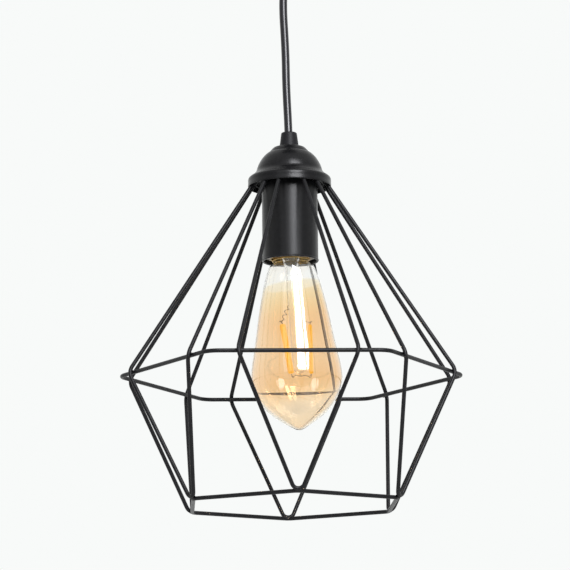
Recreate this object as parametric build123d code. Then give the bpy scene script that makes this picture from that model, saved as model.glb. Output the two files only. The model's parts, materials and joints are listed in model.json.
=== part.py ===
from build123d import *
import os
from math import acos, asin, atan, cos, degrees, hypot, pi, radians, sin, sqrt, tan

os.makedirs("parts", exist_ok=True)

# A wire-cage pendant lamp that hangs from the ceiling on its cord.
# Millimetres, +Z up. The origin is the middle of the ceiling bracket's top face.
# The photographed side faces -Y. Heights are worked out downwards from the ceiling.

# Ceiling fitting
cup_radius = 50.0
cup_depth = 36.0
cup_wall = 0.8
cup_corner_radius = 9.0
bracket_clearance = 2.7
bracket_width = 20.0
bracket_thickness = 1.5
bracket_ear = 13.0
slot_spacing = 56.0
slot_length = 16.0
slot_width = 4.5
cup_screw_radius = 2.0
cup_screw_drop = 8.0
cup_screw_head_radius = 3.9
cup_screw_head_height = 2.6

# Cord grip under the ceiling cup
grip_reach = 13.0
grip_base_radius = 8.0
grip_mouth_radius = 5.6
grip_stub_length = 9.0
grip_screw_radius = 1.5

# Terminal block in the ceiling cup
pole_pitch = 11.0
pole_count = 3
block_width = 17.0
block_height = 13.5
terminal_bore_radius = 1.6
terminal_wall = 0.8
terminal_screw_radius = 1.4
block_screw_radius = 1.4
block_screw_head_radius = 2.1
block_web = 5.0

# Cord and its cores
cord_diameter = 5.3
cord_free_length = 122.0
cord_stub = 7.5
core_diameter = 1.8
core_circle = 1.2

# Cord gland on top of the cap
gland_height = 10.7
gland_base_radius = 6.7
gland_top_radius = 5.45
gland_rib_count = 18
gland_rib_depth = 0.35
gland_thread_depth = 6.0
jaw_wall = 1.1
jaw_slit = 1.2

# Threaded nipple, nuts and washer
nipple_radius = 5.0
nipple_wall = 1.1
nut_width = 14.0
nut_height = 3.0
washer_radius = 8.5
washer_height = 0.8
washer_slit = 1.0

# Domed cap
cap_radius = 29.15
rim_height = 5.6
dome_radius = 24.6
dome_rise = 22.4
dome_ellipse_height = 24.1
cap_wall = 0.7
rim_edge_radius = 0.9
cap_cove_radius = 2.0

# Cage collar: a shallow pressed cup inside the cap's rim, open side down, that carries the cage
collar_radius = 24.25
collar_depth = 3.2
collar_lift = 1.2
collar_wall = 1.0
collar_edge_radius = 1.6

# Wire cage
wire_diameter = 2.8
belt_circumradius = 119.0
belt_corner_radius = 12.0
cage_neck = 134.5
rib_spread = 40.0
rib_bend_radius = 9.0
rib_pair_spacing = 10.4
rib_knee_rise = 1.6
rib_knee_radius = 3.2
rib_top_gap = 0.6
foot_radius = 81.0
foot_drop = 88.5
foot_bend_radius = 4.3
foot_ring_step = 1.3
foot_ring_corner_radius = 6.0

# Lampholder
sleeve_radius = 19.45
sleeve_length = 57.1
sleeve_wall = 0.8
sleeve_edge_radius = 2.5
mouth_bead = 0.35
holder_bracket_thickness = 1.6
holder_bracket_width = 12.0
holder_bracket_reach = 15.8
holder_bracket_leg = 8.6
nipple_tail = 2.0
holder_radius = 17.4
holder_rise = 33.5
holder_lip = 2.8
shell_inner_radius = 13.5
shell_wall = 0.5
shell_height = 21.9
shell_lip = 1.3
contact_recess_radius = 9.0
contact_recess_depth = 5.4
contact_thickness = 0.5
contact_width = 6.0
terminal_offset = 11.5
terminal_length = 6.0
terminal_height = 5.0
holder_screw_radius = 1.5
holder_screw_head_radius = 2.8
holder_screw_head_height = 2.0
holder_screw_length = 9.0

# Bulb: 63 mm across, with a 27 mm screw cap
bulb_seat = 0.3
bulb_cap_radius = 13.0
bulb_cap_wall = 0.45
bulb_cap_length = 20.3
bulb_cap_crown = 1.5
bulb_cap_eye_radius = 8.6
insulator_height = 2.7
insulator_top_radius = 5.4
tip_radius = 4.6
tip_height = 1.7
neck_radius = 12.3
neck_in_cap = 12.0
neck_blend = 0.6
shoulder_drop = 4.8
glass_wall = 0.7
glass_length = 119.1
belly_radius = 31.6
bulb_lean = 2.2
stem_lean = 1.7
stem_radius = 4.8
stem_wall = 1.0
stem_flare_radius = 10.6
stem_flare_length = 16.0
stem_length = 89.6
filament_length = 35.5
filament_lift = 0.8
filament_radius = 1.5
filament_top_spread = 9.9
filament_foot_spread = 7.0
filament_turn = 25.0
support_wire_radius = 0.3
lead_rise = 8.0
lead_reach = 2.0
yoke_drop = 1.7
driver_board_size = 20.4
driver_board_thickness = 1.0
driver_capacitor_radius = 3.0
driver_capacitor_height = 7.0

# Clearances
slip_fit = 0.1
cord_fit = 0.2
weld_gap = 0.05
thread_fit = 0.05
lay_gap = 0.2
cement_gap = 0.15

# Lengths and radii that follow from the sizes above
bracket_length = 2 * (cup_radius - cup_wall - bracket_clearance)
wire_radius = wire_diameter / 2
cord_radius = cord_diameter / 2
core_radius = core_diameter / 2
cord_bore = cord_radius + cord_fit
nipple_bore = nipple_radius - nipple_wall
nipple_hole = nipple_radius + slip_fit

# Heights, from the ceiling down
cup_floor_z = -cup_depth
grip_mouth_z = cup_floor_z - grip_reach
gland_top_z = grip_mouth_z - cord_free_length
dome_top_z = gland_top_z - gland_height
rim_z = dome_top_z - dome_rise - rim_height
belt_z = rim_z - cage_neck
collar_foot_z = rim_z + collar_lift
collar_top_z = collar_foot_z + collar_depth
sleeve_top_z = collar_top_z - collar_wall
mouth_z = sleeve_top_z - sleeve_length
holder_bracket_z = sleeve_top_z - sleeve_wall
nipple_foot_z = holder_bracket_z - holder_bracket_thickness - nipple_tail
nipple_top_z = dome_top_z + gland_thread_depth
holder_foot_z = mouth_z + holder_lip
holder_top_z = holder_foot_z + holder_rise
shell_foot_z = holder_foot_z - shell_lip
shell_top_z = shell_foot_z + shell_height
glass_top_z = mouth_z + bulb_seat
glass_tip_z = glass_top_z - glass_length
cap_top_z = glass_top_z + bulb_cap_length
insulator_z = cap_top_z + bulb_cap_crown
tip_z = insulator_z + insulator_height
tip_end_z = tip_z + tip_height
sheath_top_z = cup_floor_z + cord_stub
sheath_foot_z = nipple_foot_z - 1.0


def save(name, pieces):
    """Write one node; a list of pieces becomes a group of separate solids."""
    shape = Compound(children=list(pieces)) if isinstance(pieces, list) else pieces
    export_step(shape, f"parts/{name}.step")


def turned(outline):
    """A solid turned about Z from a closed outline of (radius, height) points."""
    return revolve(Plane.XZ * make_face(Polyline(*outline, close=True)), axis=Axis.Z)


def tube(outer, inner, low, high):
    """A plain ring between two heights."""
    return turned([(inner, low), (outer, low), (outer, high), (inner, high)])


def disc(radius, low, high, x=0.0, y=0.0):
    """An upright cylinder between two heights."""
    return Pos(x, y, (low + high) / 2) * Cylinder(radius, high - low)


def bent_wire(points, radii, radius):
    """A round wire along straight runs joined by tangent arcs."""
    path = FilletPolyline(*points, radius=radii)
    return sweep(Plane(origin=path @ 0, z_dir=path % 0) * Circle(radius), path=path)


def hex_nut(low, bore):
    """A thin hexagon nut with a plain bore and chamfered corners."""
    blank = Pos(0, 0, low) * extrude(RegularPolygon(nut_width / 2, 6, major_radius=False), nut_height)
    crown = nut_width / 2 / cos(radians(30))
    chamfer = 0.5
    envelope = turned([
        (0, low), (crown - chamfer, low), (crown, low + chamfer), (crown, low + nut_height - chamfer),
        (crown - chamfer, low + nut_height), (0, low + nut_height),
    ])
    return (blank & envelope) - disc(bore, low - 1, low + nut_height + 1)


def pan_screw(shank, head, head_height, length):
    """A pan-head screw along +Z, head on top, the underside of the head at z = 0."""
    body = disc(shank, -length, 0) + disc(head, 0, head_height)
    body = fillet(body.edges().group_by(Axis.Z)[-1], head_height * 0.35)
    slot = Pos(0, 0, head_height) * Box(2 * head, head * 0.25, head_height * 0.8)
    return body - slot


def ceiling_bracket():
    """Steel strap with two slots, and an ear turned down at each end for the cup's screws."""
    t = bracket_thickness
    strap = Pos(0, 0, -t / 2) * Box(bracket_length, bracket_width, t)
    ear_x = bracket_length / 2 - t / 2
    for side in (-1, 1):
        strap += Pos(side * ear_x, 0, -bracket_ear / 2) * Box(t, bracket_width, bracket_ear)
        hole = Pos(side * ear_x, 0, -cup_screw_drop) * Rot(0, 90, 0)
        strap -= hole * Cylinder(cup_screw_radius + thread_fit, 4 * t)
        slot = SlotOverall(slot_length, slot_width)
        strap -= Pos(side * slot_spacing / 2, 0, -2 * t) * extrude(slot, 3 * t)
    for x in block_screw_places():
        strap -= disc(block_screw_radius + thread_fit, -2 * t, t, x)
    return strap


def ceiling_cup():
    """Round cup that covers the bracket, open at the top, with a hole for the cord grip."""
    def body(inset, top):
        outline = make_face(Polyline(
            (0, cup_floor_z + inset), (cup_radius - inset, cup_floor_z + inset),
            (cup_radius - inset, top), (0, top), close=True,
        ))
        corner = outline.vertices().group_by(Axis.Y)[0].sort_by(Axis.X)[-1]
        outline = fillet(corner, cup_corner_radius - inset)
        return revolve(Plane.XZ * outline, axis=Axis.Z)
    cup = body(0, 0) - body(cup_wall, 1)
    cup -= disc(nipple_hole, cup_floor_z - 1, cup_floor_z + 2 * cup_wall)
    across = Pos(0, 0, -cup_screw_drop) * Rot(0, 90, 0)
    return cup - across * Cylinder(cup_screw_radius + slip_fit, 3 * cup_radius)


def cup_screws():
    """Two round-head screws through the cup's wall into the bracket's ears."""
    length = cup_radius - bracket_length / 2 + bracket_thickness + 3.0
    screw = pan_screw(cup_screw_radius, cup_screw_head_radius, cup_screw_head_height, length)
    seat = cup_radius + 0.02
    return [
        Pos(side * seat, 0, -cup_screw_drop) * Rot(0, side * 90, 0) * screw
        for side in (-1, 1)
    ]


def ceiling_cord_grip():
    """Plastic grip under the cup: a tapered body and a threaded stub through the cup's floor."""
    rounding = 1.2
    outline = make_face(Polyline(
        (cord_bore, grip_mouth_z), (grip_mouth_radius, grip_mouth_z), (grip_base_radius, cup_floor_z - 4),
        (grip_base_radius, cup_floor_z), (nipple_radius, cup_floor_z),
        (nipple_radius, cup_floor_z + grip_stub_length - 0.6),
        (nipple_radius - 0.6, cup_floor_z + grip_stub_length), (cord_bore, cup_floor_z + grip_stub_length),
        close=True,
    ))
    foot = outline.vertices().group_by(Axis.Y)[0].sort_by(Axis.X)[-1]
    grip = revolve(Plane.XZ * fillet(foot, rounding), axis=Axis.Z)
    bore = Pos(grip_base_radius / 2, 0, cup_floor_z - 4) * Rot(0, 90, 0)
    return grip - bore * Cylinder(grip_screw_radius + thread_fit, grip_base_radius * 1.2)


def grip_screw():
    """Nylon grub screw that holds the cord in the ceiling grip."""
    length = grip_base_radius - cord_radius - 0.3
    screw = Cylinder(grip_screw_radius, length) - Pos(0, 0, length / 2) * Box(0.6, 4 * grip_screw_radius, 1.6)
    return Pos(cord_radius + 0.02 + length / 2, 0, cup_floor_z - 4) * Rot(0, 90, 0) * screw


def block_screw_places():
    """The terminal block is screwed up between its poles."""
    return [(i + 0.5 - (pole_count - 1) / 2) * pole_pitch for i in range(pole_count - 1)]


def pole_places():
    return [(i - (pole_count - 1) / 2) * pole_pitch for i in range(pole_count)]


block_top_z = -bracket_thickness
block_foot_z = block_top_z - block_height
terminal_radius = terminal_bore_radius + terminal_wall
pole_z = block_top_z - block_height * 0.45
terminal_screw_y = block_width * 0.24


def terminal_block():
    """Plastic block: one humped housing for each pole, joined by webs with screw holes."""
    web = Pos(0, 0, block_top_z - block_web / 2) * Box((pole_count - 1) * pole_pitch, block_width * 0.8, block_web)
    for x in pole_places():
        box = Pos(x, 0, (block_top_z + block_foot_z) / 2)
        housing = box * Box(pole_pitch * 0.76, block_width, block_height)
        housing = chamfer(housing.edges().filter_by(Axis.Y).group_by(Axis.Z)[0], 1.2)
        web += housing
    for x in pole_places():
        web -= Pos(x, 0, pole_z) * Rot(90, 0, 0) * Cylinder(terminal_radius + thread_fit, block_width * 2)
        for y in (-terminal_screw_y, terminal_screw_y):
            web -= disc(terminal_screw_radius + 0.4, block_foot_z - 1, pole_z, x, y)
    for x in block_screw_places():
        web -= disc(block_screw_radius + slip_fit, block_foot_z, block_top_z + 1, x)
        web -= disc(block_screw_head_radius + slip_fit, block_foot_z - 1, block_top_z - block_web, x)
    return web


def terminal_tubes():
    """Brass tubes in the block, with a tapped hole for each clamping screw."""
    tubes = []
    for x in pole_places():
        piece = Rot(90, 0, 0) * (Cylinder(terminal_radius, block_width - 1) - Cylinder(terminal_bore_radius, block_width))
        for y in (-terminal_screw_y, terminal_screw_y):
            piece -= Pos(0, y, -terminal_radius) * Cylinder(terminal_screw_radius + thread_fit, 2 * terminal_radius)
        tubes.append(Pos(x, 0, pole_z) * piece)
    return tubes


def terminal_screws():
    """Clamping screws, two to a pole, driven from below."""
    length = pole_z - core_radius - 0.03 - (block_foot_z + 1.2)
    screw = Cylinder(terminal_screw_radius, length) - Pos(0, 0, -length / 2) * Box(4, 0.5, 1.2)
    middle = block_foot_z + 1.2 + length / 2
    return [
        Pos(x, y, middle) * screw
        for x in pole_places() for y in (-terminal_screw_y, terminal_screw_y)
    ]


def block_screws():
    """Screws that hold the terminal block up against the bracket."""
    screw = pan_screw(block_screw_radius, block_screw_head_radius, 1.4, block_web + bracket_thickness - 0.1)
    return [
        Pos(x, 0, block_top_z - block_web - 0.02) * Rot(180, 0, 0) * screw
        for x in block_screw_places()
    ]


def core_places(turn):
    """Where the three cores leave the sheath; the cores twist along the cord."""
    return [
        (core_circle * cos(radians(a + turn)), core_circle * sin(radians(a + turn)))
        for a in (210, 90, 330)
    ]


def ceiling_core(index):
    """One core of the cord, from the sheath's end round into its pole of the terminal block."""
    x0, y0 = sorted(core_places(180))[index]
    x1 = pole_places()[index]
    rise = 2.2
    swing = block_width / 2 + 4.5
    start = sheath_top_z + 0.02
    points = [
        (x0, y0, start), (x0, y0, start + rise), (x1, -swing, start + rise + 4),
        (x1, -swing, pole_z), (x1, -block_width * 0.2, pole_z),
    ]
    return bent_wire(points, [1.6, 2.4, 2.4], core_radius * 0.999)


def cord():
    """The cord's sheath, clamped in the ceiling grip, hanging straight down into the lamp."""
    return disc(cord_radius, sheath_foot_z, sheath_top_z)


def cord_gland():
    """Tapered ribbed gland screwed on the nipple; it clamps the cap and grips the cord."""
    rounding = 1.1
    outline = make_face(Polyline(
        (cord_bore, gland_top_z), (gland_top_radius, gland_top_z), (gland_base_radius, dome_top_z + 1),
        (gland_base_radius, dome_top_z), (cord_bore, dome_top_z), close=True,
    ))
    shoulder = outline.vertices().group_by(Axis.Y)[-1].sort_by(Axis.X)[-1]
    gland = revolve(Plane.XZ * fillet(shoulder, rounding), axis=Axis.Z)
    slope = atan((gland_base_radius - gland_top_radius) / (gland_height - 1))
    groove = Cylinder(gland_rib_depth * 1.6, gland_height * 1.5)
    middle = (gland_base_radius + gland_top_radius) / 2 + gland_rib_depth * 0.6
    for i in range(gland_rib_count):
        lie = Rot(0, 0, i * 360 / gland_rib_count) * Pos(middle, 0, dome_top_z + 1.6 + gland_height * 0.75)
        gland -= lie * Rot(0, -degrees(slope), 0) * groove
    gland -= disc(nipple_radius + thread_fit, dome_top_z - 1, nipple_top_z + slip_fit)
    jaw_room = turned([
        (0, nipple_top_z), (cord_radius + jaw_wall + slip_fit, nipple_top_z),
        (cord_bore, gland_top_z - 0.8), (0, gland_top_z - 0.8),
    ])
    return gland - jaw_room


def gland_jaw():
    """Split tapered ring that the gland squeezes onto the cord."""
    top = gland_top_z - 1.9
    base = cord_radius + jaw_wall
    ring = turned([
        (cord_radius + 0.05, nipple_top_z + 0.02), (base, nipple_top_z + 0.02),
        (cord_radius + 0.45, top), (cord_radius + 0.05, top),
    ])
    return ring - Pos(-base, 0, nipple_top_z) * Box(2 * base, jaw_slit, 3 * gland_height)


def nipple():
    """Hollow threaded rod that ties cap, cage, sleeve and lampholder together."""
    body = tube(nipple_radius, nipple_bore, nipple_foot_z, nipple_top_z)
    ends = body.edges().filter_by(GeomType.CIRCLE).group_by(SortBy.RADIUS)[-1]
    return chamfer(ends, 0.4)


def cap_outline(inset):
    """Half section of the cap's outer skin, or of its hollow when inset by the wall."""
    low = rim_z - inset * 2
    shelf = rim_z + rim_height - inset
    side = dome_radius - inset
    angle = degrees(asin(dome_rise / dome_ellipse_height))
    curve = EllipticalCenterArc((0, shelf), side, dome_ellipse_height, start_angle=0, arc_size=angle)
    top = curve @ 1
    edges = [
        Line((0, low), (cap_radius - inset, low)),
        Line((cap_radius - inset, low), (cap_radius - inset, shelf)),
        Line((cap_radius - inset, shelf), (side, shelf)),
        curve,
        Line((top.X, top.Y), (0, top.Y)),
        Line((0, top.Y), (0, low)),
    ]
    face = make_face(edges)
    corners = [v for v in face.vertices() if abs(v.Y - shelf) < 1e-6]
    outer, cove = sorted(corners, key=lambda v: -v.X)
    face = fillet(outer, max(rim_edge_radius - inset, 0.15))
    cove = min(face.vertices(), key=lambda v: hypot(v.X - cove.X, v.Y - cove.Y))
    return fillet(cove, cap_cove_radius + inset)


def dome_cap():
    """Spun cap: a straight rim, a coved shelf and a dome with a small flat on top."""
    skin = revolve(Plane.XZ * cap_outline(0), axis=Axis.Z)
    hollow = revolve(Plane.XZ * cap_outline(cap_wall), axis=Axis.Z)
    return skin - hollow - disc(nipple_hole, dome_top_z - 5, dome_top_z + 1)


def cage_collar():
    """Pressed cup, open side down: its web is clamped on the nipple, its wall carries the ribs."""
    def body(inset, low):
        face = make_face(Polyline(
            (0, low), (collar_radius - inset, low), (collar_radius - inset, collar_top_z - inset),
            (0, collar_top_z - inset), close=True,
        ))
        corner = face.vertices().group_by(Axis.Y)[-1].sort_by(Axis.X)[-1]
        return revolve(Plane.XZ * fillet(corner, max(collar_edge_radius - inset, 0.3)), axis=Axis.Z)
    collar = body(0, collar_foot_z) - body(collar_wall, collar_foot_z - 1)
    return collar - disc(nipple_hole, collar_foot_z, collar_top_z + 1)


def lock_washer():
    """Split spring washer between the collar and its nut."""
    ring = tube(washer_radius, nipple_hole, collar_top_z, collar_top_z + washer_height)
    middle = (washer_radius + nipple_hole) / 2
    return ring - Pos(0, middle, collar_top_z) * Rot(0, 25, 0) * Box(washer_slit, washer_radius, 6 * washer_height)


# The cage: six bent wires, each the outline of a kite, with a hexagon ring round their belt bends
# and a smaller one inside their feet.
belt_apothem = belt_circumradius * cos(radians(30))
contact = wire_diameter + weld_gap
rib_top_radius = collar_radius + wire_radius + weld_gap
rib_top_z = min(collar_top_z, rim_z + rim_height - cap_wall) - rib_top_gap
knee_z = rim_z + rib_knee_rise
foot_z = belt_z - foot_drop
foot_ring_z = foot_z - foot_ring_step
foot_ring_inset = sqrt(contact ** 2 - foot_ring_step ** 2)
foot_ring_apothem = (
    (foot_radius - foot_ring_inset + foot_ring_corner_radius * (1 / cos(radians(30)) - 1)) * cos(radians(30))
)


def rib_knee():
    """Where a rib turns upright against the collar, in its kite's frame: out, along, up."""
    lateral = rib_pair_spacing / 2
    radial = sqrt(rib_top_radius ** 2 - lateral ** 2)
    turn = radians(30)
    return Vector(
        radial * cos(turn) + lateral * sin(turn),
        radial * sin(turn) - lateral * cos(turn),
        knee_z,
    )


def foot_vertex(bend_out):
    """The sharp corner under the rounded foot, for a wire whose belt bends stand bend_out from the axis."""
    out, drop = foot_radius - bend_out, foot_drop
    reach = hypot(out, drop)
    centre = reach - foot_bend_radius
    half = atan(rib_spread / centre) - asin(foot_bend_radius / hypot(rib_spread, centre))
    stretch = rib_spread / tan(half) / reach
    return Vector(bend_out + out * stretch, 0, belt_z - drop * stretch)


def kite_points():
    """Corners of one kite wire before bending: top, knee, belt bend, foot and back up the far side."""
    knee = rib_knee()
    bend_out = belt_apothem + contact
    for _ in range(4):
        bend = Vector(bend_out, rib_spread, belt_z)
        foot = foot_vertex(bend_out)
        up, down = (knee - bend).normalized(), (foot - bend).normalized()
        half = acos(up.dot(down)) / 2
        inward = (up + down).normalized().X * rib_bend_radius * (1 / sin(half) - 1)
        bend_out = belt_apothem + contact - inward
    top = Vector(knee.X, knee.Y, rib_top_z)
    far = [Vector(p.X, -p.Y, p.Z) for p in (bend, knee, top)]
    return [top, knee, bend, foot] + far


def kite_wire(index):
    """One cage wire, welded to the collar, the belt and the foot ring."""
    radii = [rib_knee_radius, rib_bend_radius, foot_bend_radius, rib_bend_radius, rib_knee_radius]
    wire = bent_wire(kite_points(), radii, wire_radius)
    return Rot(0, 0, 30 + 60 * index) * wire


def hexagon_ring(apothem, corner_radius, height, turn):
    """A closed ring of wire with six rounded corners; turn places its first corner."""
    path = fillet(RegularPolygon(apothem, 6, major_radius=False).vertices(), corner_radius).face().outer_wire()
    path = Pos(0, 0, height) * Rot(0, 0, turn) * path
    side = path.edges().filter_by(GeomType.LINE)[0]
    return sweep(Plane(origin=side @ 0.5, z_dir=side % 0.5) * Circle(wire_radius), path=path)


# Lampholder and bulb
def holder_sleeve():
    """Deep drawn sleeve over the lampholder, with a rolled bead round its mouth."""
    def body(inset, low):
        face = make_face(Polyline(
            (0, low), (sleeve_radius - inset, low), (sleeve_radius - inset, sleeve_top_z - inset),
            (0, sleeve_top_z - inset), close=True,
        ))
        corner = face.vertices().group_by(Axis.Y)[-1].sort_by(Axis.X)[-1]
        return revolve(Plane.XZ * fillet(corner, max(sleeve_edge_radius - inset, 0.3)), axis=Axis.Z)
    sleeve = body(0, mouth_z) - body(sleeve_wall, mouth_z - 1)
    bead_z = mouth_z + sleeve_wall / 2 + mouth_bead
    bead = Torus(sleeve_radius - sleeve_wall / 2, sleeve_wall / 2 + mouth_bead)
    sleeve += Pos(0, 0, bead_z) * bead
    return sleeve - disc(nipple_hole, sleeve_top_z - 5, sleeve_top_z + 1)


holder_screw_x = (holder_bracket_leg + holder_bracket_thickness + holder_bracket_reach) / 2


def holder_bracket():
    """Steel bridge on the nipple's foot, with feet screwed to the lampholder's top."""
    t = holder_bracket_thickness
    w = holder_bracket_width
    leg_height = holder_bracket_z - holder_top_z
    bridge = Pos(0, 0, holder_bracket_z - t / 2) * Box(2 * (holder_bracket_leg + t), w, t)
    foot_length = holder_bracket_reach - holder_bracket_leg
    for side in (-1, 1):
        leg_x = side * (holder_bracket_leg + t / 2)
        bridge += Pos(leg_x, 0, holder_bracket_z - leg_height / 2) * Box(t, w, leg_height)
        foot_x = side * (holder_bracket_leg + foot_length / 2)
        bridge += Pos(foot_x, 0, holder_top_z + t / 2) * Box(foot_length, w * 0.7, t)
        bridge -= disc(holder_screw_radius + slip_fit, holder_top_z - 1, holder_top_z + 2 * t, side * holder_screw_x)
    return bridge - disc(nipple_radius + thread_fit, holder_bracket_z - 2 * t, holder_bracket_z + 1)


def bracket_screws():
    """Two screws through the bridge's feet into the lampholder."""
    screw = pan_screw(holder_screw_radius, holder_screw_head_radius, holder_screw_head_height, holder_screw_length)
    seat = holder_top_z + holder_bracket_thickness + 0.02
    return [Pos(side * holder_screw_x, 0, seat) * screw for side in (-1, 1)]


web_z = shell_top_z
recess_top_z = web_z + contact_recess_depth
recess_step = contact_thickness + slip_fit


def holder_body():
    """Porcelain body: a skirt round the screw shell under a thick web that carries the terminals."""
    body = disc(holder_radius, holder_foot_z, holder_top_z)
    body = fillet(body.edges().group_by(Axis.Z)[-1], 1.5)
    body -= disc(shell_inner_radius + shell_wall + lay_gap, holder_foot_z - 1, web_z)
    body -= disc(contact_recess_radius, web_z - 1, recess_top_z)
    w = contact_width + 2 * slip_fit
    for side in (-1, 1):
        seat_y = side * terminal_offset
        seat = Pos(0, seat_y, holder_top_z) * Box(
            terminal_length + 2 * slip_fit, terminal_length + 2 * slip_fit, 2 * (terminal_height * 0.5))
        body -= seat
        body -= Pos(side * holder_screw_x, 0, holder_top_z) * Cylinder(holder_screw_radius + thread_fit, 2 * holder_screw_length)
    front_slot_y = contact_recess_radius - recess_step / 2 - 0.3
    body -= Pos(0, -front_slot_y, (recess_top_z + holder_top_z) / 2) * Box(w, recess_step, holder_top_z - recess_top_z + 2)
    back_slot_y = shell_inner_radius - 1.5
    body -= Pos(0, back_slot_y, (web_z + holder_top_z) / 2) * Box(w, recess_step, holder_top_z - web_z + 2)
    return body


def screw_shell():
    """Brass screw shell of the lampholder, with an inturned flange under the web."""
    flange = shell_inner_radius - 3.5
    return turned([
        (shell_inner_radius, shell_foot_z), (shell_inner_radius + shell_wall, shell_foot_z),
        (shell_inner_radius + shell_wall, shell_top_z - 0.02), (flange, shell_top_z - 0.02),
        (flange, shell_top_z - shell_wall), (shell_inner_radius, shell_top_z - shell_wall),
    ])


def terminal(side):
    """Brass clamp on top of the porcelain, with a hole for the core and a tapped hole for its screw."""
    low = holder_top_z - terminal_height * 0.5 + 0.02
    block = Pos(0, side * terminal_offset, low + terminal_height / 2) * Box(
        terminal_length, terminal_length, terminal_height)
    hole_z = low + terminal_height * 0.72
    block -= Pos(0, side * terminal_offset, hole_z) * Rot(90, 0, 0) * Cylinder(core_radius + 0.05, 3 * terminal_length)
    return block - disc(holder_screw_radius * 0.8 + thread_fit, hole_z, hole_z + terminal_height, 0, side * terminal_offset)


def shell_contact():
    """Brass strip from the back terminal down through the web to the shell's flange."""
    y = shell_inner_radius - 1.5
    low = shell_top_z + 0.0
    high = holder_top_z - terminal_height * 0.5 + 0.4
    strip = Pos(0, y, (low + high) / 2) * Box(contact_width, contact_thickness, high - low)
    return strip + terminal(1)


def centre_contact():
    """Brass strip from the front terminal through the web to a sprung tongue over the bulb's tip."""
    y = -(contact_recess_radius - recess_step / 2 - 0.3)
    high = holder_top_z - terminal_height * 0.5 + 0.4
    tongue_z = tip_end_z + 0.15
    top = recess_top_z - contact_thickness / 2 - 0.02
    low = tongue_z + contact_thickness / 2
    line = Polyline((y, high), (y, top), (-4.5, top), (-1.8, low), (1.8, low), (3.4, low + 1.0))
    strip = extrude(Plane.YZ * trace(line, contact_thickness), contact_width / 2, both=True)
    return strip + terminal(-1)


def holder_terminal_screws():
    """Two clamping screws, one in each terminal of the lampholder."""
    low = holder_top_z - terminal_height * 0.5 + 0.02
    seat = low + terminal_height + 0.02
    screw = pan_screw(holder_screw_radius * 0.8, holder_screw_radius * 1.6, 1.2, terminal_height * 0.12)
    return [Pos(0, side * terminal_offset, seat) * screw for side in (-1, 1)]


def lamp_core(index):
    """One core of the cord inside the sleeve; the third goes to the bracket as earth."""
    x0, y0 = core_places(0)[index]
    start = sheath_foot_z - 0.02
    low = holder_top_z - terminal_height * 0.5 + 0.02
    entry_z = low + terminal_height * 0.72
    if index == 2:
        x1 = holder_bracket_leg - core_radius - 0.05
        points = [(x0, y0, start), (x0, y0, start - 2.6), (x1, 2.2, start - 5.2), (x1, 2.2, holder_top_z + 3.0)]
        return bent_wire(points, [1.5, 1.5], core_radius)
    side = (-1, 1)[index]
    entry_y = side * (terminal_offset - terminal_length / 2 + 0.05)
    points = [
        (x0, y0, start), (x0, y0, start - 2.0), (0.4 * x0, side * 4.4, start - 6.0),
        (0, side * 4.4, entry_z), (0, entry_y, entry_z),
    ]
    return bent_wire(points, [1.5, 1.5, 1.5], core_radius)


# The bulb leans in the play of its thread, about the middle of the threaded length.
bulb_pivot = Vector(0, 0, glass_top_z + bulb_cap_length / 2)
leaned = Pos(*bulb_pivot) * Rot(0, -bulb_lean, 0) * Pos(*(-bulb_pivot))
stem_pivot = Vector(0, 0, glass_top_z + 2)
stem_leaned = leaned * Pos(*stem_pivot) * Rot(0, -stem_lean, 0) * Pos(*(-stem_pivot))


def bulb_cap():
    """Brass screw cap of the bulb."""
    t = bulb_cap_wall
    r = bulb_cap_radius
    return leaned * turned([
        (r - t, glass_top_z), (r, glass_top_z), (r, cap_top_z), (bulb_cap_eye_radius, insulator_z),
        (bulb_cap_eye_radius - t, insulator_z), (bulb_cap_eye_radius - t, insulator_z - t),
        (r - t, cap_top_z - t),
    ])


def cap_insulator():
    """Black glass insulator between the cap and the tip."""
    return leaned * turned([
        (0, insulator_z + 0.02), (bulb_cap_eye_radius - 0.4, insulator_z + 0.02),
        (insulator_top_radius, tip_z), (0, tip_z),
    ])


def tip_contact():
    """Soldered contact at the tip of the cap."""
    button = disc(tip_radius, tip_z + 0.02, tip_end_z)
    return leaned * fillet(button.edges().group_by(Axis.Z)[-1], tip_height * 0.6)


def glass_outline(inset):
    """Half section of the bulb: neck in the cap, shoulder, long taper, belly and pointed foot."""
    r = lambda value: max(value - inset, 0.0)
    belly_z = glass_tip_z + 0.305 * glass_length
    shoulder_z = glass_top_z - shoulder_drop
    shoulder = r(0.505 * belly_radius)
    neck = Line((r(neck_radius), glass_top_z + neck_in_cap), (r(neck_radius), glass_top_z - neck_blend + inset))
    span = shoulder_z - belly_z
    taper = Spline(
        (shoulder, shoulder_z), (r(0.637 * belly_radius), shoulder_z - 0.172 * span),
        (r(0.787 * belly_radius), shoulder_z - 0.459 * span), (r(0.908 * belly_radius), shoulder_z - 0.744 * span),
        (r(belly_radius), belly_z),
        tangents=[(0.42, -1), (0, -1)],
    )
    tip = glass_tip_z + inset
    drop = belly_z - tip
    foot = Spline(
        (r(belly_radius), belly_z), (r(0.945 * belly_radius), belly_z - 0.22 * drop),
        (r(0.825 * belly_radius), belly_z - 0.45 * drop), (r(0.64 * belly_radius), belly_z - 0.65 * drop),
        (r(0.385 * belly_radius), belly_z - 0.82 * drop), (r(0.17 * belly_radius), belly_z - 0.94 * drop),
        (0, tip),
        tangents=[(0, -1), (-1, 0)],
    )
    bridge = Spline(neck @ 1, taper @ 0, tangents=[(0, -1), (0.42, -1)])
    axis = Line((0, tip), (0, glass_top_z + neck_in_cap))
    lid = Line((0, glass_top_z + neck_in_cap), neck @ 0)
    return make_face([neck, bridge, taper, foot, axis, lid])


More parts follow.
